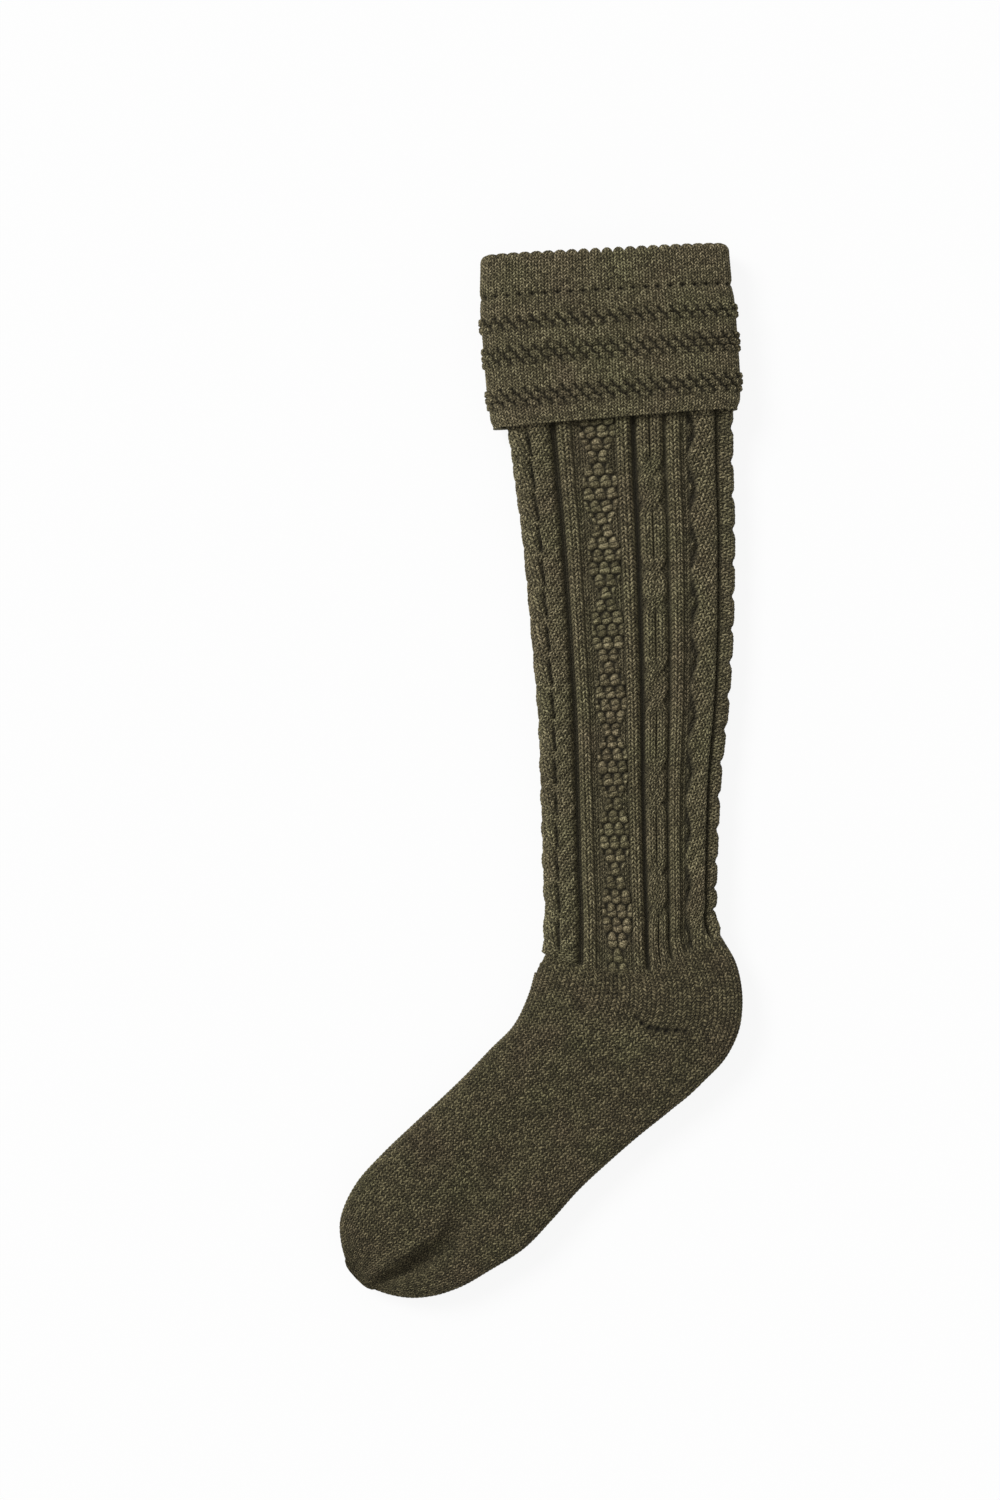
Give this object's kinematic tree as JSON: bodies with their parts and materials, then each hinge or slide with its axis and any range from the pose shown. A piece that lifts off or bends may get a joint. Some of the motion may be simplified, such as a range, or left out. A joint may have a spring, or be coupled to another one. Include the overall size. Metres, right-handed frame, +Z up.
{
  "type": "sock",
  "caption": "Cable-knit knee sock in marled olive-brown wool with a patterned turned-down cuff, lying on its side.",
  "frame": {"origin": "centre of the underside of the sock's box, on the surface that it lies on", "axes": "+Y along the leg to the cuff, +X to the back of the leg and heel, +Z up from the surface"},
  "size_m": [0.2132, 0.559, 0.0314],
  "materials": {
    "marled_wool_cuff": "matte",
    "marled_wool_leg": "matte",
    "marled_wool_foot": "matte"
  },
  "bodies": {
    "root": {"turnover_cuff": "marled_wool_cuff", "leg": "marled_wool_leg", "heel": "marled_wool_foot", "foot": "marled_wool_foot", "toe": "marled_wool_foot"}
  },
  "joints": []
}
